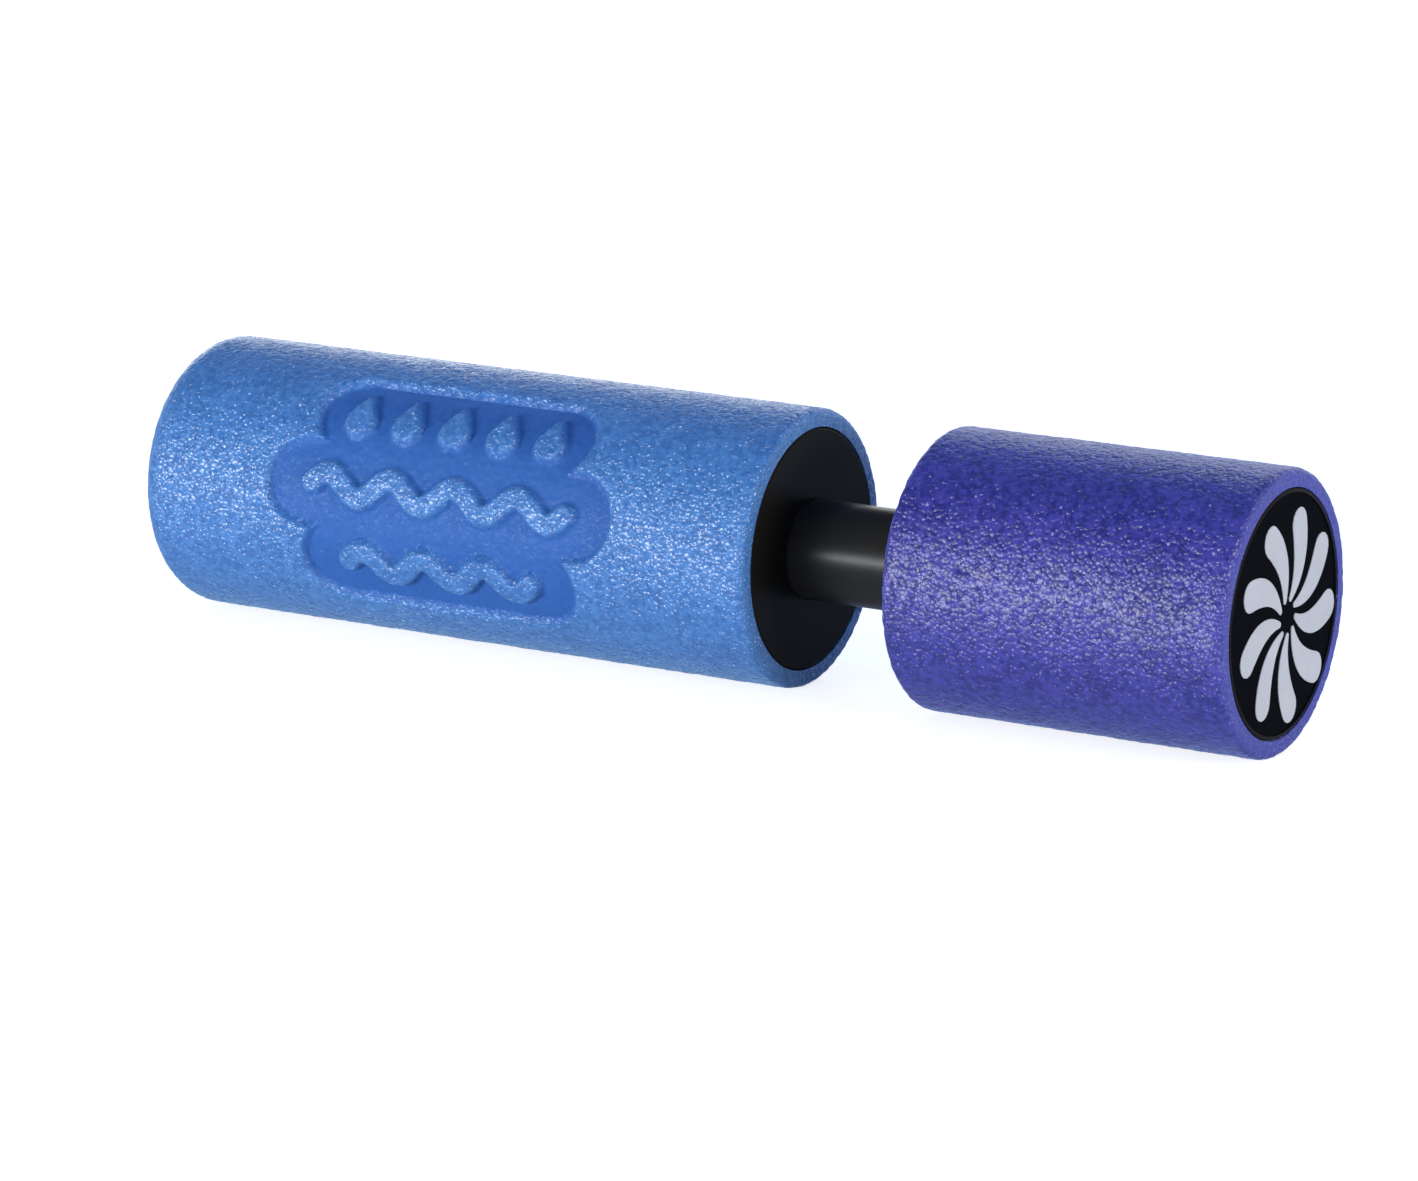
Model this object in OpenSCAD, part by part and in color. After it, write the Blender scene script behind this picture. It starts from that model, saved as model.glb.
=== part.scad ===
// Foam pump water squirter, drawn partly pulled out.
// The pump's axis is X: the spout's mouth is at the origin and the handle is on the +X side. Z is up.

/* [Foam sleeves] */
// Outside diameter of both foam sleeves
foam_d = 40; // [38:0.5:46]
// Length of the barrel's sleeve
barrel_len = 103; // [90:1:140]
// Length of the handle's sleeve
handle_len = 51.6; // [40:0.2:80]
// Rounding of the barrel's sleeve at the spout end
nose_round = 4.6; // [1:0.2:5]
// Rounding of the other cut ends of the sleeves
edge_round = 1.2; // [0.4:0.1:2.4]

/* [Tubes and rod] */
// Outside diameter of the barrel tube and of the handle's core tube
tube_d = 26; // [25:0.5:29]
// Wall of both tubes
tube_wall = 1.7; // [1.2:0.1:2.2]
// Outside diameter of the plunger rod
rod_d = 14.4; // [12:0.2:15]
// Wall of the plunger rod
rod_wall = 1.6; // [1:0.1:2.2]
// Gap between the barrel and the handle as drawn
pull_out = 21.8; // [1:0.2:55]

/* [Caps] */
// Diameter of the black discs of the rear cap and of both handle caps
disc_d = 34.6; // [31:0.2:37]
// Diameter of the nozzle cap's flange
nose_disc_d = 30; // [28:0.5:33]
// Thickness of every disc and flange
disc_t = 2; // [1.6:0.1:3]
// Length of the skirts that plug the caps into the tubes
skirt_len = 9; // [8:0.5:12]
// Wall of the skirts and of the rod guides
skirt_wall = 1.2; // [0.8:0.1:1.6]
// Number of stiffening ribs in a cap
cap_ribs = 6; // [3:1:10]

/* [Spout] */
// Bore of the spout
spout_bore = 5; // [3:0.2:6]
// How far the spout stands out of the foam
spout_out = 3; // [1:0.2:6]
// Diameter of the spout at its mouth
spout_tip_d = 9; // [8:0.2:11]
// Diameter of the spout where it leaves the flange
spout_root_d = 12; // [11.2:0.2:16]

/* [Piston] */
// Length of the piston's head
piston_len = 13; // [10:0.5:18]
// Cord diameter of the two sealing rings
seal_d = 2.4; // [1.8:0.1:3]
// Length of the plug that holds the piston in the rod
stem_len = 12; // [6:0.5:20]

/* [Pressed panel] */
// Depth of the panel that is pressed into the barrel's foam
panel_depth = 1.2; // [0.6:0.1:2]
// Distance from the sleeve's spout end to the panel
panel_start = 23; // [12:0.5:28]
// Length of the panel's middle band
panel_len = 58; // [50:0.5:60]
// Length of the panel's upper and lower bands
panel_side_len = 46; // [42:0.5:50]
// Width of each band
band_w = 13; // [12:0.5:15]
// Turn from one band to the next round the sleeve
band_turn = 33; // [30:1:36]
// Height of the panel's middle above the side of the barrel, as a turn
panel_tilt = 15; // [0:1:40]
// Line width of the raised waves
wave_w = 3.4; // [2.4:0.2:4]
// Number of raised drops
drop_count = 5; // [3:1:5]
// Width of each raised drop
drop_w = 5; // [4:0.2:5.6]

/* [Label] */
// Number of printed blades
blade_count = 9; // [6:1:12]
// Width of a blade near its outer end
blade_w = 4.4; // [2:0.1:4.6]
// Width of a blade at its inner end
blade_tip_w = 0.9; // [0.5:0.1:1.2]

/* [Hidden] */
$fn = 96;

// Clearances
glue_gap = 0.1;
slide_gap = 0.1;
seal_gap = 0.05;
piston_gap = 0.3;
groove_side_gap = 0.2;
nose_gap = 1.5;
overrun = 1;

// Colours
foam_blue = [0.31, 0.54, 0.81];
foam_purple = [0.29, 0.27, 0.6];
moulded_black = [0.06, 0.06, 0.065];
tube_white = [0.86, 0.87, 0.88];
seal_black = [0.12, 0.12, 0.13];
label_black = [0.02, 0.02, 0.02];
blade_grey = [0.77, 0.79, 0.84];

// Radii
foam_r = foam_d / 2;
tube_r = tube_d / 2;
tube_bore_r = tube_r - tube_wall;
rod_r = rod_d / 2;
rod_bore_r = rod_r - rod_wall;
disc_r = disc_d / 2;
nose_disc_r = nose_disc_d / 2;
skirt_r = tube_bore_r - glue_gap;
skirt_bore_r = skirt_r - skirt_wall;

// Places along the axis
barrel_x0 = spout_out;
barrel_x1 = barrel_x0 + barrel_len;
handle_x0 = barrel_x1 + pull_out;
handle_x1 = handle_x0 + handle_len;
piston_x0 = barrel_x0 + disc_t + skirt_len + nose_gap + pull_out;
piston_x1 = piston_x0 + piston_len;

// Caps
disc_edge_round = 0.4;
rib_t = 1.2;
rib_drop = 3;
skirt_lead = 0.5;
guide_wall = skirt_wall;

// Spout
tip_chamfer = 0.5;
throat_len = 3.4;
inlet_len = 3.6;
inlet_flare = 1.1;
inlet_wall = 1.2;
spout_r = spout_bore / 2;
inlet_r = spout_r + inlet_flare;

// Piston
piston_r = tube_bore_r - piston_gap;
seal_ring_r = tube_bore_r - seal_gap - seal_d / 2;
groove_r = seal_ring_r - seal_d / 2 - seal_gap;
groove_w = seal_d + 2 * groove_side_gap;
land_w = (piston_len - 2 * groove_w) / 3;
groove_x = [for (i = [0, 1]) piston_x0 + land_w + i * (groove_w + land_w)];
dish_depth_share = 0.25;
dish_r_share = 0.6;
piston_edge = 0.5;
stem_r = rod_bore_r - glue_gap;
stem_wall = 1.6;
stem_core_depth_share = 0.8;

// Handle end cap
spigot_len = 14;
spigot_wall = 1.5;
spigot_web_t = 1.2;
spigot_r = rod_bore_r - glue_gap;

// Label in the end cap's recess
label_rim = 0.6;
label_t = 0.3;
label_sunk = 0.15;
blade_t = 0.1;
label_r = disc_r - label_rim - glue_gap;
label_x1 = handle_x1 - label_sunk;
label_x0 = label_x1 - label_t;

// Blades
blade_margin = 1.5;
blade_in_r = 2.6;
blade_out_r = label_r - blade_margin - blade_w / 2;
blade_bow = 1.2;
blade_hook = 1;
blade_start_turn = 19;
print_shift_y = 1.2;
print_shift_z = -0.7;
blade_steps = 12;
end_steps = 8;

// Pressed panel
panel_mid = barrel_x0 + panel_start + panel_len / 2;
wave_swings = 8;
side_wave_swings = 6;
wave_rise = 1.7;
swing_steps = 6;
wave_margin = 4.2;
drop_margin = 4.4;
drop_round_share = 0.5;
drop_tip_share = 2;

// Turns a profile about the X axis: its first coordinate is the radius, its second the place along X.
module turned() {
    rotate([0, 90, 0])
        rotate_extrude()
            children();
}

// Puts a shape drawn in X and Y on the barrel's side at a turn above the horizontal, with Z outwards.
module on_side(x, turn) {
    translate([x, 0, 0])
        rotate([90 - turn, 0, 0])
            children();
}

// Puts a cap that is drawn from its outer face at zero towards +X.
module facing_front(x) {
    translate([x, 0, 0])
        children();
}

// Puts the same kind of cap with its outer face towards +X.
module facing_rear(x) {
    translate([x, 0, 0])
        mirror([1, 0, 0])
            children();
}

// Profile of a plain ring from one radius to another and from one place along X to another.
module band(r0, r1, x0, x1) {
    translate([r0, x0])
        square([r1 - r0, x1 - x0]);
}

// What a rounding takes off an outer corner. way is 1 for an end that looks along +X, else -1.
module corner(r, x, radius, way) {
    translate([r - radius, x - way * radius])
        mirror([0, way > 0 ? 0 : 1])
            difference() {
                square(radius + overrun);
                circle(r = radius);
            }
}

// What a chamfer takes off an outer corner.
module chamfer_corner(r, x, size, way) {
    translate([r, x])
        mirror([0, way > 0 ? 0 : 1])
            polygon([[-size, 0], [0, -size], [size, -size], [size, size], [-size, size]]);
}

// Profile of a foam sleeve that is bored for its tube and recessed at both ends for the discs.
module sleeve_profile(x0, x1, front_round, front_seat_r, rear_seat_r) {
    difference() {
        band(tube_r + glue_gap, foam_r, x0, x1);
        corner(foam_r, x0, front_round, -1);
        corner(foam_r, x1, edge_round, 1);
        band(0, front_seat_r + glue_gap, x0 - overrun, x0 + disc_t);
        band(0, rear_seat_r + glue_gap, x1 - disc_t, x1 + overrun);
    }
}

// Outline of one band of the pressed panel.
module pill(length, width) {
    square([length - width, width], center = true);
    for (side = [-1, 1])
        translate([side * (length - width) / 2, 0])
            circle(d = width);
}

// Outline of a stroke with round ends, from points along its line, with the heading and half width at each.
function stroke(line, heading, half) =
    let (last = len(line) - 1)
    concat(
        [for (i = [0 : last]) line[i] + half[i] * unit(heading[i] - 90)],
        [for (j = [1 : end_steps - 1]) line[last] + half[last] * unit(heading[last] - 90 + 180 * j / end_steps)],
        [for (i = [last : -1 : 0]) line[i] + half[i] * unit(heading[i] + 90)],
        [for (j = [1 : end_steps - 1]) line[0] + half[0] * unit(heading[0] + 90 + 180 * j / end_steps)]
    );

// Unit vector at a turn from the X axis.
function unit(turn) = [cos(turn), sin(turn)];

// Equal steps from 0 to 1.
function shares(count) = [for (i = [0 : count]) i / count];

// A wave of equal swings with round ends.
module wave(full_length, swings) {
    length = full_length - wave_w;
    places = shares(swings * swing_steps);
    polygon(stroke(
        [for (s = places) [(s - 1 / 2) * length, wave_rise * sin(180 * swings * s)]],
        [for (s = places) atan(wave_rise * cos(180 * swings * s) * PI * swings / length)],
        [for (s = places) wave_w / 2]
    ));
}

// A drop that points up.
module water_drop(width) {
    round_r = width * drop_round_share;
    tip = round_r * drop_tip_share;
    touch_turn = acos(round_r / tip);
    translate([0, (round_r - tip) / 2]) {
        circle(r = round_r);
        polygon([
            [0, tip],
            [-round_r * sin(touch_turn), round_r * cos(touch_turn)],
            [round_r * sin(touch_turn), round_r * cos(touch_turn)]
        ]);
    }
}

// A row of drops.
module drop_row(length, count) {
    pitch = (length - drop_w) / (count - 1);
    for (i = [0 : count - 1])
        translate([(i - (count - 1) / 2) * pitch, 0])
            water_drop(drop_w);
}

// An outline raised through the barrel's foam at a turn above the horizontal, longer by some at both ends.
module pressed(turn, extra) {
    root = foam_r - band_w / 2 - extra;
    on_side(panel_mid, turn)
        translate([0, 0, root])
            linear_extrude(foam_r + overrun + extra - root)
                children();
}

// What the press takes out of the barrel's foam: three bands, less the drops and waves that stay.
module pressed_panel() {
    upper = panel_tilt + band_turn;
    lower = panel_tilt - band_turn;
    difference() {
        union() {
            pressed(panel_tilt, 0)
                pill(panel_len, band_w);
            for (turn = [upper, lower])
                pressed(turn, 0)
                    pill(panel_side_len, band_w);
        }
        pressed(upper, overrun)
            drop_row(panel_side_len - 2 * drop_margin, drop_count);
        pressed(panel_tilt, overrun)
            wave(panel_len - 2 * wave_margin, wave_swings);
        pressed(lower, overrun)
            wave(panel_side_len - 2 * wave_margin, side_wave_swings);
        turned()
            band(0, foam_r - panel_depth, barrel_x0, barrel_x1);
    }
}

// Stiffening ribs of a cap, from one radius to another.
module ribs(r0, r1, x0, x1) {
    for (i = [0 : cap_ribs - 1])
        rotate([i * 360 / cap_ribs, 0, 0])
            translate([x0, -rib_t / 2, r0])
                cube([x1 - x0, rib_t, r1 - r0]);
}

// Disc and skirt that every cap starts from.
module cap_profile(radius) {
    difference() {
        union() {
            band(0, radius, 0, disc_t);
            band(skirt_bore_r, skirt_r, 0, disc_t + skirt_len);
        }
        corner(radius, 0, disc_edge_round, -1);
        chamfer_corner(skirt_r, disc_t + skirt_len, skirt_lead, 1);
    }
}

// Cap that the rod passes through.
module rod_cap(rod_gap) {
    hole_r = rod_r + rod_gap;
    guide_r = hole_r + guide_wall;
    rib_sink = guide_wall / 2;
    turned()
        difference() {
            union() {
                cap_profile(disc_r);
                band(0, guide_r, 0, disc_t + skirt_len);
            }
            band(0, hole_r, -overrun, disc_t + skirt_len + overrun);
        }
    ribs(guide_r - rib_sink, skirt_bore_r + rib_sink, disc_t, disc_t + skirt_len - rib_drop);
}

module barrel_foam() {
    color(foam_blue)
        difference() {
            turned()
                sleeve_profile(barrel_x0, barrel_x1, nose_round, nose_disc_r, disc_r);
            pressed_panel();
        }
}

module barrel_tube() {
    color(tube_white)
        turned()
            band(tube_bore_r, tube_r, barrel_x0 + disc_t, barrel_x1 - disc_t);
}

module nozzle_cap() {
    throat_end = disc_t + throat_len;
    inlet_end = throat_end + inlet_len;
    rib_sink = inlet_wall / 2;
    color(moulded_black)
        facing_front(barrel_x0) {
            turned()
                difference() {
                    union() {
                        cap_profile(nose_disc_r);
                        band(0, inlet_r + inlet_wall, disc_t, inlet_end);
                        polygon([
                            [0, disc_t],
                            [spout_root_d / 2, disc_t],
                            [spout_root_d / 2, 0],
                            [spout_tip_d / 2, tip_chamfer - spout_out],
                            [spout_tip_d / 2 - tip_chamfer, -spout_out],
                            [0, -spout_out]
                        ]);
                    }
                    band(0, spout_r, -spout_out - overrun, inlet_end + overrun);
                    polygon([[0, throat_end], [spout_r, throat_end], [inlet_r, inlet_end], [0, inlet_end]]);
                }
            ribs(inlet_r + inlet_wall - rib_sink, skirt_bore_r + rib_sink, disc_t, inlet_end - rib_drop);
        }
}

module rear_cap() {
    color(moulded_black)
        facing_rear(barrel_x1)
            rod_cap(slide_gap);
}

module piston_o_ring(i) {
    color(seal_black)
        turned()
            translate([seal_ring_r, groove_x[i] + groove_w / 2])
                circle(d = seal_d);
}

module piston_o_ring_front() {
    piston_o_ring(0);
}

module piston_o_ring_rear() {
    piston_o_ring(1);
}

module piston() {
    dish_depth = piston_len * dish_depth_share;
    dish_r = groove_r * dish_r_share;
    stem_end = piston_x1 + stem_len;
    color(moulded_black)
        turned()
            difference() {
                union() {
                    band(0, piston_r, piston_x0, piston_x1);
                    band(0, stem_r, piston_x1, stem_end);
                }
                for (x = groove_x)
                    band(groove_r, piston_r + overrun, x, x + groove_w);
                polygon([[0, piston_x0], [dish_r, piston_x0], [0, piston_x0 + dish_depth]]);
                band(0, stem_r - stem_wall, stem_end - stem_len * stem_core_depth_share, stem_end + overrun);
                chamfer_corner(piston_r, piston_x0, piston_edge, -1);
                chamfer_corner(piston_r, piston_x1, piston_edge, 1);
                chamfer_corner(stem_r, stem_end, piston_edge, 1);
            }
}

module plunger_rod() {
    color(moulded_black)
        turned()
            band(rod_bore_r, rod_r, piston_x1, handle_x1 - disc_t);
}

module handle_front_cap() {
    color(moulded_black)
        facing_front(handle_x0)
            rod_cap(glue_gap);
}

module handle_tube() {
    color(tube_white)
        turned()
            band(tube_bore_r, tube_r, handle_x0 + disc_t, handle_x1 - disc_t);
}

module handle_foam() {
    color(foam_purple)
        turned()
            sleeve_profile(handle_x0, handle_x1, edge_round, disc_r, disc_r);
}

module handle_end_cap() {
    spigot_end = disc_t + spigot_len;
    web = 2 * spigot_r - spigot_wall;
    color(moulded_black)
        facing_rear(handle_x1) {
            turned()
                difference() {
                    union() {
                        cap_profile(disc_r);
                        band(spigot_r - spigot_wall, spigot_r, 0, spigot_end);
                    }
                    band(0, label_r + glue_gap, -overrun, label_sunk + label_t);
                    chamfer_corner(spigot_r, spigot_end, skirt_lead, 1);
                }
            for (turn = [0, 90])
                rotate([turn, 0, 0])
                    translate([disc_t, -spigot_web_t / 2, -web / 2])
                        cube([spigot_len - rib_drop, spigot_web_t, web]);
        }
}

module end_cap_label() {
    color(label_black)
        turned()
            band(0, label_r, label_x0, label_x1);
}

// A blade runs out from the hub along +Y, bows to +X on its way and hooks back at its end.
module blade() {
    run = blade_out_r - blade_in_r;
    places = shares(blade_steps);
    polygon(stroke(
        [for (s = places) [4 * blade_bow * s * (1 - s) - blade_hook * s * s, blade_in_r + run * s]],
        [for (s = places) atan2(run, 4 * blade_bow * (1 - 2 * s) - 2 * blade_hook * s)],
        [for (s = places) (blade_tip_w + (blade_w - blade_tip_w) * sin(90 * s)) / 2]
    ));
}

module pinwheel_blades() {
    color(blade_grey)
        for (i = [0 : blade_count - 1])
            translate([label_x1, print_shift_y, print_shift_z])
                rotate([90, 0, 90])
                    rotate(-blade_start_turn - i * 360 / blade_count)
                        linear_extrude(blade_t)
                            blade();
}

barrel_foam();
barrel_tube();
nozzle_cap();
rear_cap();
piston_o_ring_front();
piston_o_ring_rear();
piston();
plunger_rod();
handle_front_cap();
handle_tube();
handle_foam();
handle_end_cap();
end_cap_label();
pinwheel_blades();
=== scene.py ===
"""Foam pump water squirter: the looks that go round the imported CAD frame, in metres."""

import math

import bpy
import numpy as np
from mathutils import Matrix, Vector


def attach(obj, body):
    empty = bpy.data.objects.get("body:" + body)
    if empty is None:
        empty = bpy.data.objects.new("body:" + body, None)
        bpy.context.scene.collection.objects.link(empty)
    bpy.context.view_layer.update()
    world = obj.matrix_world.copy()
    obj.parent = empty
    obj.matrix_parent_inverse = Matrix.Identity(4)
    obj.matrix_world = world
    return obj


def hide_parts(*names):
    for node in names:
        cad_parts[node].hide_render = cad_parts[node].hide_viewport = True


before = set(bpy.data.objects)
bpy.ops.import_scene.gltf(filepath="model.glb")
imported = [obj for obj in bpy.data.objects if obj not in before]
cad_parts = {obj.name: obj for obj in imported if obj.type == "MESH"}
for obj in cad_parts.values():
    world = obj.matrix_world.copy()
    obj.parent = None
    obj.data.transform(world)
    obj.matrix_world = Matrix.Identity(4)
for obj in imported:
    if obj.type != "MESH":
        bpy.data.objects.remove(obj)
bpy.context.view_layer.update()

MM = 0.001

# Foam sleeves, the same sizes as the part's source
FOAM_R = 20 * MM
BORE_R = 13.1 * MM
DISC_SEAT_R = 17.4 * MM
NOSE_SEAT_R = 15.1 * MM
SEAT_DEPTH = 2 * MM
NOSE_ROUND = 4.6 * MM
EDGE_ROUND = 1.2 * MM
BARREL_X = (3 * MM, 106 * MM)
HANDLE_X = (127.8 * MM, 179.4 * MM)

# Mesh of a sleeve
SLEEVE_SIDES = 300
NOSE_STEPS = 9
EDGE_STEPS = 6
BARREL_CUTS = (15, 14)
HANDLE_CUTS = (10, 10)
NEAR = 0.1 * MM
SAME_PLACE = 0.01 * MM
SMOOTH_ANGLE = math.radians(50)

# Pressed panel, the same sizes as the part's source. A band has its angle up from -Y and its length
PANEL_DEPTH = 1.2 * MM
PANEL_MID = 55 * MM
BAND_W = 13 * MM
BANDS = {"upper": (48, 46 * MM), "middle": (15, 58 * MM), "lower": (-18, 46 * MM)}
WAVE_W = 3.4 * MM
WAVE_RISE = 1.7 * MM
WAVES = {"middle": (46.2 * MM, 8), "lower": (34.2 * MM, 6)}
WAVE_POINTS = 160
DROP_R = 2.5 * MM
DROP_TIP = 5 * MM
DROP_LOW = 1.25 * MM
DROP_PITCH = 8.05 * MM
DROP_COUNT = 5
PRESS_SOFT = 0.8 * MM
PRESS_REACH = 2 * MM

# Uneven skin of the blown foam, and how far in from an end the saw cut shows
LUMP_SIZE = 4 * MM
LUMP_HEIGHT = 0.1 * MM
CELL_SIZE = 1 * MM
CELL_HEIGHT = 0.18 * MM
SKIN_START = 0.3 * MM
SKIN_RAMP = 1 * MM
CUT_START = 0.1 * MM
CUT_RAMP = 0.5 * MM

# Patterns in the foam, in repeats per metre
MOTTLE_SCALE = 110
GRAIN_SCALE = 950
DRIFT_SCALE = 260
WARP_SCALE = 900
BUBBLE_SCALE = 1600
DRIFT_HEIGHT = 0.1 * MM
WARP_REACH = 0.9 * MM
MOTTLE_SHARE = 0.3
GRAIN_SHARE = 0.7
TONE_RANGE = (0.4, 0.6)

# What pressing and cutting do to the foam's film of bubbles and to its colour
PRESSED_FLAT_SHARE = 0.3
PRESSED_DULL_SHARE = 0.88
PRESSED_TONE_SHARE = 0.85
CUT_ROUGH_SHARE = 0.8
CUT_TONE_SHARE = 0.7
FLATTEST_BUBBLE_SHARE = 0.3

# Foams: tones, shine and softness of the film, steepness of its bubbles and tint of the pale edges
BLUE_FOAM = {
    "bright": (0.06, 0.192, 0.449, 1),
    "deep": (0.032, 0.128, 0.344, 1),
    "pressed_tone": (0.029, 0.103, 0.335, 1),
    "cut_tone": (0.06, 0.193, 0.44, 1),
    "shine": 0.54,
    "softness": 0.3,
    "steepness": 2600,
    "edge_tint": (0.45, 0.75, 1, 1),
}
PURPLE_FOAM = {
    "bright": (0.045, 0.0375, 0.286, 1),
    "deep": (0.014, 0.0125, 0.163, 1),
    "cut_tone": (0.06, 0.056, 0.32, 1),
    "shine": 0.53,
    "softness": 0.4,
    "steepness": 1700,
    "edge_tint": (0.4, 0.57, 1, 1),
}

# Plastics, rubber and ink: tone, roughness, specular level and flow marks per metre along X, Y and Z
MOULDED = {
    "cap_black": ((0.0125, 0.0105, 0.008), 0.32, 0.03, (90, 90, 90)),
    "rod_black": ((0.0195, 0.018, 0.0155), 0.3, 0.17, (60, 200, 200)),
    "tube_white": ((0.7, 0.71, 0.72), 0.4, 0.5, (12, 300, 300)),
    "seal_rubber": ((0.013, 0.013, 0.014), 0.55, 0.4, (300, 300, 300)),
    "label_film": ((0.0012, 0.0012, 0.001), 0.3, 0.008, (150, 150, 150)),
    "blade_ink": ((0.575, 0.55, 0.52), 0.5, 0.3, (220, 220, 220)),
}
FLOW_TONES = (0.9, 1.1)
FLOW_GLOSS = 0.02
PEEL_SCALE = 900
PEEL_HEIGHT = 0.05 * MM
DRESSED = {
    "nozzle_cap": "cap_black",
    "rear_cap": "cap_black",
    "handle_front_cap": "cap_black",
    "handle_end_cap": "cap_black",
    "piston": "cap_black",
    "plunger_rod": "rod_black",
    "barrel_tube": "tube_white",
    "handle_tube": "tube_white",
    "piston_o_ring_front": "seal_rubber",
    "piston_o_ring_rear": "seal_rubber",
    "end_cap_label": "label_film",
    "pinwheel_blades": "blade_ink",
}

# Camera, fitted to the photograph's two sleeve ends
CAMERA_TARGET = Vector((0.08913, 0, -0.00824))
CAMERA_DISTANCE = 0.8434
CAMERA_AZIMUTH = math.radians(30.426)
CAMERA_ELEVATION = math.radians(14.217)
CAMERA_LENS = 149.58
CAMERA_SENSOR = 36

# Studio: the floor's glow and what shiny surfaces mirror of it, in front of the object and behind it
FLOOR_Z = -20.2 * MM
FLOOR_SIZE = 5
FLOOR_PAPER = (0.9, 0.9, 0.9, 1)
FLOOR_GLOW = 0.75
FLOOR_FRONT = (-0.12, -0.03, 0.8, 0.1)
FLOOR_BEHIND = (0.15, 0.5, 0.1, 0.9)

# Studio: the room's level by height, and the backdrop that shiny surfaces mirror
WHITE = (1, 1, 1, 1)
ROOM_TINT = (0.29, 0.5, 1, 1)
ROOM_HEIGHTS = (0.05, 0.6)
HORIZON_LEVEL = 0.55
OVERHEAD_LEVEL = 0.31
OVERHEAD_DIMMED = 0.25
BACKDROP_DEPTH = (0.2, 0.6)
BACKDROP_HEIGHTS = (0.15, 0.45, 0.9, 0)

# Studio: each softbox's place, aim, width, height, power and tint
SOFTBOXES = {
    "key_softbox": ((-0.41, -0.94, 0.07), (0.09, 0, 0), 0.56, 0.17, 6.7, (0.9, 0.96, 1)),
    "top_softbox": ((0.1, 0.4, 0.9), (0.09, 0, 0), 0.5, 0.4, 1.8, (0.1, 0.3, 1)),
    "side_softbox": ((1.3, -0.25, 0.2), (0.09, 0, 0), 0.5, 0.36, 9.5, (1, 1, 1)),
    "floor_card": ((0.02, -0.24, -0.018), (0.09, 0, -0.005), 0.4, 0.14, 0.6, (1, 1, 1)),
    "back_softbox": ((0, 1, 0.45), (0.09, 0, 0), 0.8, 0.3, 2.4, (1, 1, 1)),
    "rear_softbox": ((-0.75, 0.95, 0.12), (0.06, 0, 0), 0.6, 0.3, 2.5, (1, 1, 1)),
}


def deselect_all():
    if bpy.context.object and bpy.context.object.mode != "OBJECT":
        bpy.ops.object.mode_set(mode="OBJECT")
    bpy.ops.object.select_all(action="DESELECT")


def pick_only(piece):
    deselect_all()
    bpy.context.view_layer.objects.active = piece
    piece.select_set(True)


def pick_faces(piece, test):
    """Leaves the piece in edit mode with only the faces selected whose polygon passes the test."""
    bpy.ops.object.mode_set(mode="EDIT")
    bpy.ops.mesh.select_mode(type="FACE")
    bpy.ops.mesh.select_all(action="DESELECT")
    bpy.ops.object.mode_set(mode="OBJECT")
    for polygon in piece.data.polygons:
        polygon.select = test(polygon)
    bpy.ops.object.mode_set(mode="EDIT")


def pick_edges(piece, test):
    """Leaves the piece in edit mode with only the edges selected whose two end points pass the test."""
    bpy.ops.object.mode_set(mode="EDIT")
    bpy.ops.mesh.select_mode(type="EDGE")
    bpy.ops.mesh.select_all(action="DESELECT")
    bpy.ops.object.mode_set(mode="OBJECT")
    points = piece.data.vertices
    for edge in piece.data.edges:
        edge.select = test(points[edge.vertices[0]].co, points[edge.vertices[1]].co)
    bpy.ops.object.mode_set(mode="EDIT")


def from_axis(point):
    return math.hypot(point.y, point.z)


def on_outside(point):
    return from_axis(point) > FOAM_R - SAME_PLACE


def recess_end(piece, x, way, seat_r):
    """Sinks the disc's seat into the sleeve end at x and narrows it to the bore.

    way is 1 for the end that looks along +X, and -1 for the other."""
    pick_faces(piece, lambda p: p.normal.x * way > 0.9 and abs(p.center.x - x) < NEAR)
    bpy.ops.mesh.inset(thickness=FOAM_R - seat_r, depth=0)
    bpy.ops.mesh.extrude_region_move(TRANSFORM_OT_translate={"value": (-way * SEAT_DEPTH, 0, 0)})
    bpy.ops.mesh.inset(thickness=seat_r - BORE_R, depth=0)


def round_end(piece, x, radius, steps):
    """Rounds the sleeve's outer corner at x."""
    def at_corner(point):
        return abs(point.x - x) < SAME_PLACE and from_axis(point) > FOAM_R - NEAR

    pick_edges(piece, lambda a, b: at_corner(a) and at_corner(b))
    bpy.ops.mesh.bevel(offset=radius, segments=steps, profile=0.5, affect="EDGES")


def cut_lengthwise(piece, cuts):
    """Cuts the long outer faces across, twice, into a fine grid that can take the press and the cells."""
    for count in cuts:
        points = piece.data.vertices
        ends = [[points[i].co for i in edge.vertices] for edge in piece.data.edges]
        longest = max(abs(a.x - b.x) for a, b in ends if on_outside(a) and on_outside(b))
        pick_edges(piece, lambda a, b: on_outside(a) and on_outside(b) and abs(a.x - b.x) > longest / 2)
        bpy.ops.mesh.subdivide(number_cuts=count)
        bpy.ops.object.mode_set(mode="OBJECT")


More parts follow.
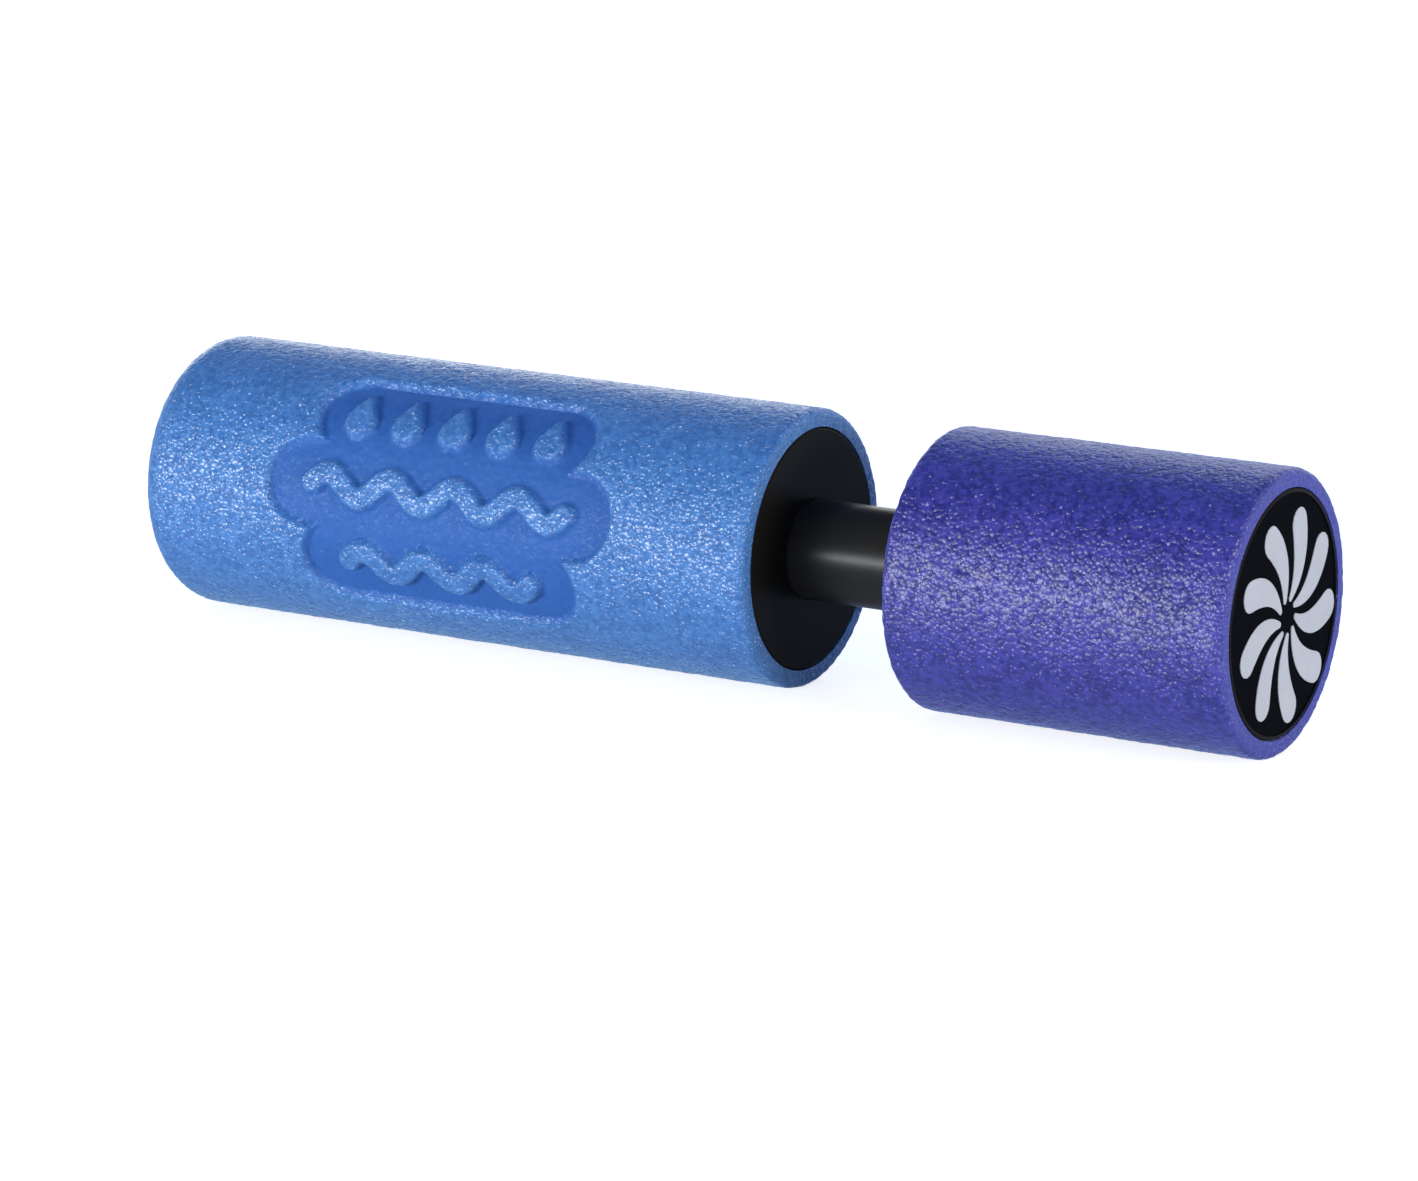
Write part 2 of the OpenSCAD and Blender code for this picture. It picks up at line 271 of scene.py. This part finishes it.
def foam_sleeve(name, span, front_seat_r, front_round, front_steps, cuts):
    """A foam tube: a cylinder with a disc's seat in each end, bored through and rounded at its cut edges."""
    x0, x1 = span
    deselect_all()
    bpy.ops.mesh.primitive_cylinder_add(
        vertices=SLEEVE_SIDES, radius=FOAM_R, depth=x1 - x0, end_fill_type="NGON",
        location=((x0 + x1) / 2, 0, 0), rotation=(0, math.pi / 2, 0),
    )
    sleeve = bpy.context.object
    sleeve.name = sleeve.data.name = name
    bpy.ops.object.transform_apply(location=True, rotation=True, scale=True)
    recess_end(sleeve, x0, -1, front_seat_r)
    recess_end(sleeve, x1, 1, DISC_SEAT_R)
    inner = (x0 + SEAT_DEPTH, x1 - SEAT_DEPTH)
    pick_faces(sleeve, lambda p: len(p.vertices) > 4 and min(abs(p.center.x - x) for x in inner) < NEAR)
    bpy.ops.mesh.bridge_edge_loops()
    round_end(sleeve, x0, front_round, front_steps)
    round_end(sleeve, x1, EDGE_ROUND, EDGE_STEPS)
    bpy.ops.object.mode_set(mode="OBJECT")
    cut_lengthwise(sleeve, cuts)
    return sleeve


def mesh_points(piece):
    points = np.zeros(len(piece.data.vertices) * 3)
    piece.data.vertices.foreach_get("co", points)
    return points.reshape(-1, 3)


def soft_step(value):
    value = np.clip(value, 0, 1)
    return value * value * (3 - 2 * value)


def inside(distance):
    """1 well inside an outline and 0 well outside, with the soft edge that the press leaves.

    The distance is signed, and negative inside."""
    return soft_step(0.5 - distance / PRESS_SOFT)


def pill_distance(x, y, length):
    return np.hypot(np.maximum(np.abs(x) - (length - BAND_W) / 2, 0), y) - BAND_W / 2


def drop_distance(x, y):
    """A drop that points up: a circle with its tip joined on by tangents."""
    lean = DROP_R / DROP_TIP
    side = math.sqrt(1 - lean * lean)
    x, y = np.abs(x), y + DROP_LOW
    along = y * side - x * lean
    belly = np.hypot(x, y) - DROP_R
    flank = x * side + y * lean - DROP_R
    tip = np.hypot(x, y - DROP_TIP)
    return np.where(along < 0, belly, np.where(along > side * DROP_TIP, tip, flank))


def wave_distance(x, y, length, swings):
    share = np.linspace(0, 1, WAVE_POINTS)
    run = length - WAVE_W
    line_x = (share - 0.5) * run
    line_y = WAVE_RISE * np.sin(math.pi * swings * share)
    nearest = np.full(len(x), np.inf)
    for px, py in zip(line_x, line_y):
        nearest = np.minimum(nearest, np.hypot(x - px, y - py))
    return nearest - WAVE_W / 2


def pressed_share(points):
    """How far the hot press went in at each point.

    It is 1 on the panel's floor, and 0 outside it and on the drops and waves."""
    turn = np.arctan2(points[:, 2], -points[:, 1])
    radius = np.hypot(points[:, 1], points[:, 2])
    x = points[:, 0] - PANEL_MID
    panel = np.full(len(points), np.inf)
    raised = np.full(len(points), np.inf)
    for band, (angle, length) in BANDS.items():
        swing = turn - math.radians(angle)
        y = np.where(np.abs(swing) < math.pi / 2, radius * np.sin(swing), np.inf)
        panel = np.minimum(panel, pill_distance(x, y, length))
        near = np.flatnonzero((np.abs(y) < BAND_W) & (np.abs(x) < length))
        motif = np.full(len(near), np.inf)
        if band == "upper":
            for i in range(DROP_COUNT):
                middle = (i - (DROP_COUNT - 1) / 2) * DROP_PITCH
                motif = np.minimum(motif, drop_distance(x[near] - middle, y[near]))
        else:
            motif = wave_distance(x[near], y[near], *WAVES[band])
        raised[near] = np.minimum(raised[near], motif)
    skin = soft_step((radius - FOAM_R + PRESS_REACH) / SKIN_RAMP)
    return inside(panel) * (1 - inside(raised)) * skin


def weigh(piece, name, weights):
    """Keeps a weight for each point: a vertex group for the modifiers, an attribute for the material."""
    group = piece.vertex_groups.new(name=name)
    for index in np.flatnonzero(weights > 0.001):
        group.add([int(index)], float(weights[index]), "REPLACE")
    attribute = piece.data.attributes.new(name + "_share", "FLOAT", "POINT")
    attribute.data.foreach_set("value", weights.astype(np.float32))


def cell_texture(name, kind, size):
    texture = bpy.data.textures.new(name, kind)
    texture.noise_scale = size
    return texture


def displace(piece, name, group, strength, texture=None, mid_level=0.5):
    pick_only(piece)
    modifier = piece.modifiers.new(name, "DISPLACE")
    modifier.vertex_group = group
    modifier.strength = strength
    modifier.mid_level = mid_level
    modifier.direction = "NORMAL"
    if texture:
        modifier.texture = texture
        modifier.texture_coords = "LOCAL"
    bpy.ops.object.modifier_apply(modifier=name)


def finish_sleeve(sleeve, span, lumps, cells):
    """Gives a sleeve the uneven skin of blown foam, and marks its cut ends for the material."""
    points = mesh_points(sleeve)
    radius = np.hypot(points[:, 1], points[:, 2])
    weigh(sleeve, "skin", soft_step((radius - DISC_SEAT_R - SKIN_START) / SKIN_RAMP))
    from_end = np.minimum(points[:, 0] - span[0], span[1] - points[:, 0])
    weigh(sleeve, "cut_end", 1 - soft_step((from_end - CUT_START) / CUT_RAMP))
    displace(sleeve, "lumps", "skin", LUMP_HEIGHT, lumps)
    displace(sleeve, "cells", "skin", CELL_HEIGHT, cells)
    pick_only(sleeve)
    bpy.ops.object.shade_smooth_by_angle(angle=SMOOTH_ANGLE)


def add_node(tree, kind, inputs=None, **settings):
    node = tree.nodes.new("ShaderNode" + kind)
    for name, value in settings.items():
        setattr(node, name, value)
    for socket, value in (inputs or {}).items():
        if isinstance(value, bpy.types.NodeSocket):
            tree.links.new(value, node.inputs[socket])
        else:
            node.inputs[socket].default_value = value
    return node


def calc(tree, operation, *values):
    return add_node(tree, "Math", dict(enumerate(values)), operation=operation).outputs[0]


def calc_vector(tree, operation, *values):
    return add_node(tree, "VectorMath", dict(enumerate(values)), operation=operation).outputs[0]


def blend_colours(tree, factor, one, other):
    node = add_node(tree, "Mix", {0: factor, 6: one, 7: other}, data_type="RGBA")
    return node.outputs[2]


def remap(tree, value, low, high, to_low=0.0, to_high=1.0):
    inputs = {0: value, 1: low, 2: high, 3: to_low, 4: to_high}
    return add_node(tree, "MapRange", inputs, interpolation_type="SMOOTHSTEP").outputs[0]


def noise(tree, place, scale, detail, roughness=0.6):
    inputs = {"Vector": place, "Scale": scale, "Detail": detail, "Roughness": roughness}
    return add_node(tree, "TexNoise", inputs)


def new_material(name):
    """An empty material with a Principled shader on its output."""
    material = bpy.data.materials.new(name)
    material.use_nodes = True
    tree = material.node_tree
    tree.nodes.clear()
    shader = add_node(tree, "BsdfPrincipled")
    add_node(tree, "OutputMaterial", {"Surface": shader.outputs[0]})
    return material, tree, shader


def bubble_film(tree, place, bubbly, steepness):
    """The film's own normal: each bubble is a small dome, flat or steep, with an uneven outline."""
    warp = noise(tree, place, WARP_SCALE, 2).outputs["Color"]
    uneven = calc_vector(tree, "MULTIPLY_ADD", warp, (WARP_REACH, WARP_REACH, WARP_REACH), place)
    spread = {"Vector": uneven, "Scale": BUBBLE_SCALE, "Randomness": 1.0}
    bubbles = add_node(tree, "TexVoronoi", spread, feature="F1")
    from_middle = calc_vector(tree, "SUBTRACT", uneven, bubbles.outputs["Position"])
    swell = add_node(tree, "SeparateColor", {0: bubbles.outputs["Color"]}).outputs[0]
    swell = remap(tree, swell, 0, 1, FLATTEST_BUBBLE_SHARE * steepness, steepness)
    swell = calc(tree, "MULTIPLY", bubbly, swell)
    lean = add_node(tree, "VectorMath", {0: from_middle, "Scale": swell}, operation="SCALE").outputs[0]
    around = add_node(tree, "NewGeometry").outputs["Normal"]
    return calc_vector(tree, "NORMALIZE", calc_vector(tree, "ADD", around, lean))


def foam_finish(name, bright, deep, cut_tone, shine, softness, steepness, edge_tint, pressed_tone=None):
    """Closed-cell foam: soft coloured foam under a film of small glossy bubbles.

    The film is rougher where the foam was cut, and flatter and nearly gone where it was hot-pressed."""
    material, tree, shader = new_material(name)
    place = add_node(tree, "TexCoord").outputs["Object"]
    cut = add_node(tree, "Attribute", attribute_name="cut_end_share").outputs["Fac"]
    bubbly = calc(tree, "ADD", 1.0, calc(tree, "MULTIPLY", cut, CUT_ROUGH_SHARE))

    mottle = calc(tree, "MULTIPLY", noise(tree, place, MOTTLE_SCALE, 4).outputs["Fac"], MOTTLE_SHARE)
    grain = calc(tree, "MULTIPLY", noise(tree, place, GRAIN_SCALE, 2).outputs["Fac"], GRAIN_SHARE)
    tone = remap(tree, calc(tree, "ADD", mottle, grain), *TONE_RANGE)
    colour = blend_colours(tree, tone, deep, bright)
    shader.inputs["Coat Weight"].default_value = shine
    if pressed_tone:
        pressed = add_node(tree, "Attribute", attribute_name="pressed_share").outputs["Fac"]
        bubbly = calc(tree, "SUBTRACT", bubbly, calc(tree, "MULTIPLY", pressed, PRESSED_FLAT_SHARE))
        toned = calc(tree, "MULTIPLY", pressed, PRESSED_TONE_SHARE)
        colour = blend_colours(tree, toned, colour, pressed_tone)
        left = calc(tree, "SUBTRACT", 1.0, calc(tree, "MULTIPLY", pressed, PRESSED_DULL_SHARE))
        tree.links.new(calc(tree, "MULTIPLY", shine, left), shader.inputs["Coat Weight"])
    colour = blend_colours(tree, calc(tree, "MULTIPLY", cut, CUT_TONE_SHARE), colour, cut_tone)

    drift = noise(tree, place, DRIFT_SCALE, 3).outputs["Fac"]
    drift = calc(tree, "MULTIPLY", drift, calc(tree, "MULTIPLY", bubbly, DRIFT_HEIGHT))
    body = add_node(tree, "Bump", {"Height": drift, "Strength": 1.0, "Distance": 1.0})
    film = bubble_film(tree, place, bubbly, steepness)

    tree.links.new(colour, shader.inputs["Base Color"])
    tree.links.new(body.outputs[0], shader.inputs["Normal"])
    tree.links.new(film, shader.inputs["Coat Normal"])
    shader.inputs["Roughness"].default_value = 0.6
    shader.inputs["Specular IOR Level"].default_value = 0.1
    shader.inputs["Coat Roughness"].default_value = softness
    shader.inputs["Coat IOR"].default_value = 2.0
    shader.inputs["Sheen Weight"].default_value = 0.35
    shader.inputs["Sheen Roughness"].default_value = 0.4
    shader.inputs["Sheen Tint"].default_value = edge_tint
    return material


def moulded_finish(name, tone, gloss, level, streaks):
    """Moulded or drawn plastic: a near even colour with faint flow marks and a fine uneven gloss."""
    material, tree, shader = new_material(name)
    place = add_node(tree, "TexCoord").outputs["Object"]
    drawn = add_node(tree, "Mapping", {"Vector": place, "Scale": streaks}).outputs[0]
    flow = noise(tree, drawn, 1.0, 4, 0.55).outputs["Fac"]
    peel = noise(tree, place, PEEL_SCALE, 2, 0.5).outputs["Fac"]
    darker, lighter = (tuple(share * c for c in tone) + (1,) for share in FLOW_TONES)
    colour = blend_colours(tree, flow, darker, lighter)
    rough = remap(tree, flow, 0.3, 0.7, gloss - FLOW_GLOSS, gloss + FLOW_GLOSS)
    bump = add_node(tree, "Bump", {"Height": peel, "Strength": 0.15, "Distance": PEEL_HEIGHT})
    tree.links.new(colour, shader.inputs["Base Color"])
    tree.links.new(rough, shader.inputs["Roughness"])
    tree.links.new(bump.outputs[0], shader.inputs["Normal"])
    shader.inputs["Specular IOR Level"].default_value = level
    return material


def dress(node, material):
    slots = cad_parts[node].data.materials
    slots.clear()
    slots.append(material)


def studio_floor():
    """A plain pale floor. The camera sees it as white, and it keeps the object's shadow."""
    deselect_all()
    bpy.ops.mesh.primitive_plane_add(size=FLOOR_SIZE, location=(CAMERA_TARGET.x, 0, FLOOR_Z))
    floor = bpy.context.object
    floor.name = "studio_floor"
    material = bpy.data.materials.new("studio_white")
    material.use_nodes = True
    tree = material.node_tree
    tree.nodes.clear()
    rays = add_node(tree, "LightPath")
    seen = calc(tree, "MAXIMUM", rays.outputs["Is Camera Ray"], rays.outputs["Is Transmission Ray"])
    depth = add_node(tree, "SeparateXYZ", {0: add_node(tree, "TexCoord").outputs["Object"]}).outputs["Y"]
    mirrored = calc(tree, "MAXIMUM", remap(tree, depth, *FLOOR_FRONT), remap(tree, depth, *FLOOR_BEHIND))
    mirrored = calc(tree, "MULTIPLY", rays.outputs["Is Glossy Ray"], mirrored)
    glow = calc(tree, "MULTIPLY", calc(tree, "MAXIMUM", seen, mirrored), FLOOR_GLOW)
    paper = add_node(tree, "BsdfDiffuse", {"Color": FLOOR_PAPER})
    light = add_node(tree, "Emission", {"Color": WHITE, "Strength": glow})
    both = add_node(tree, "AddShader", {0: paper.outputs[0], 1: light.outputs[0]})
    add_node(tree, "OutputMaterial", {"Surface": both.outputs[0]})
    floor.data.materials.append(material)


def studio_world():
    """Soft light all round: pale near the horizon and dim overhead, with a white backdrop."""
    world = bpy.data.worlds.new("studio_room")
    bpy.context.scene.world = world
    world.use_nodes = True
    tree = world.node_tree
    tree.nodes.clear()
    heading = add_node(tree, "SeparateXYZ", {0: add_node(tree, "TexCoord").outputs["Generated"]})
    depth, height = heading.outputs["Y"], heading.outputs["Z"]
    rays = add_node(tree, "LightPath")
    camera, glossy = rays.outputs["Is Camera Ray"], rays.outputs["Is Glossy Ray"]
    overhead = calc(tree, "SUBTRACT", OVERHEAD_LEVEL, calc(tree, "MULTIPLY", glossy, OVERHEAD_DIMMED))
    level = remap(tree, height, *ROOM_HEIGHTS, HORIZON_LEVEL, overhead)
    backdrop = remap(tree, depth, *BACKDROP_DEPTH)
    backdrop = calc(tree, "MULTIPLY", backdrop, remap(tree, height, *BACKDROP_HEIGHTS))
    backdrop = calc(tree, "MAXIMUM", calc(tree, "MULTIPLY", backdrop, glossy), camera)
    colour = blend_colours(tree, calc(tree, "MAXIMUM", camera, glossy), ROOM_TINT, WHITE)
    room = add_node(tree, "Background", {"Color": colour, "Strength": calc(tree, "MAXIMUM", level, backdrop)})
    add_node(tree, "OutputWorld", {"Surface": room.outputs[0]})


def softbox(name, place, aim, width, height, power, tint):
    deselect_all()
    turn = (Vector(aim) - Vector(place)).to_track_quat("-Z", "Y").to_euler()
    bpy.ops.object.light_add(type="AREA", location=place, rotation=turn)
    lamp = bpy.context.object
    lamp.name = name
    lamp.data.shape = "RECTANGLE"
    lamp.data.size = width
    lamp.data.size_y = height
    lamp.data.energy = power
    lamp.data.color = tint
    lamp.visible_camera = False


def photo_camera():
    level = math.cos(CAMERA_ELEVATION)
    across, away = math.sin(CAMERA_AZIMUTH) * level, math.cos(CAMERA_AZIMUTH) * level
    way = Vector((across, -away, math.sin(CAMERA_ELEVATION)))
    deselect_all()
    bpy.ops.object.camera_add(
        location=CAMERA_TARGET + CAMERA_DISTANCE * way, rotation=(-way).to_track_quat("-Z", "Y").to_euler()
    )
    camera = bpy.context.object
    camera.name = "photo_camera"
    camera.data.sensor_fit = "HORIZONTAL"
    camera.data.sensor_width = CAMERA_SENSOR
    camera.data.lens = CAMERA_LENS
    bpy.context.scene.camera = camera


photo_camera()
studio_floor()
studio_world()
for name, values in SOFTBOXES.items():
    softbox(name, *values)

lumps = cell_texture("foam_lumps", "CLOUDS", LUMP_SIZE)
cells = cell_texture("foam_cells", "VORONOI", CELL_SIZE)

# Barrel: the panel is pressed in before the skin gets its lumps and cells
barrel_sleeve = foam_sleeve("barrel_sleeve", BARREL_X, NOSE_SEAT_R, NOSE_ROUND, NOSE_STEPS, BARREL_CUTS)
weigh(barrel_sleeve, "pressed", pressed_share(mesh_points(barrel_sleeve)))
displace(barrel_sleeve, "press", "pressed", -PANEL_DEPTH, mid_level=0)
finish_sleeve(barrel_sleeve, BARREL_X, lumps, cells)
barrel_sleeve.data.materials.append(foam_finish("blue_foam", **BLUE_FOAM))

# Handle
handle_sleeve = foam_sleeve("handle_sleeve", HANDLE_X, DISC_SEAT_R, EDGE_ROUND, EDGE_STEPS, HANDLE_CUTS)
finish_sleeve(handle_sleeve, HANDLE_X, lumps, cells)
handle_sleeve.data.materials.append(foam_finish("purple_foam", **PURPLE_FOAM))

for sleeve, body, solid, slot in (
    (barrel_sleeve, "barrel", "barrel_foam", "blue_foam"),
    (handle_sleeve, "plunger", "handle_foam", "purple_foam"),
):
    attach(sleeve, body)
    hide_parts(solid)

finishes = {name: moulded_finish(name, *values) for name, values in MOULDED.items()}
for node, finish in DRESSED.items():
    dress(node, finishes[finish])

bpy.context.scene.view_settings.view_transform = "Standard"
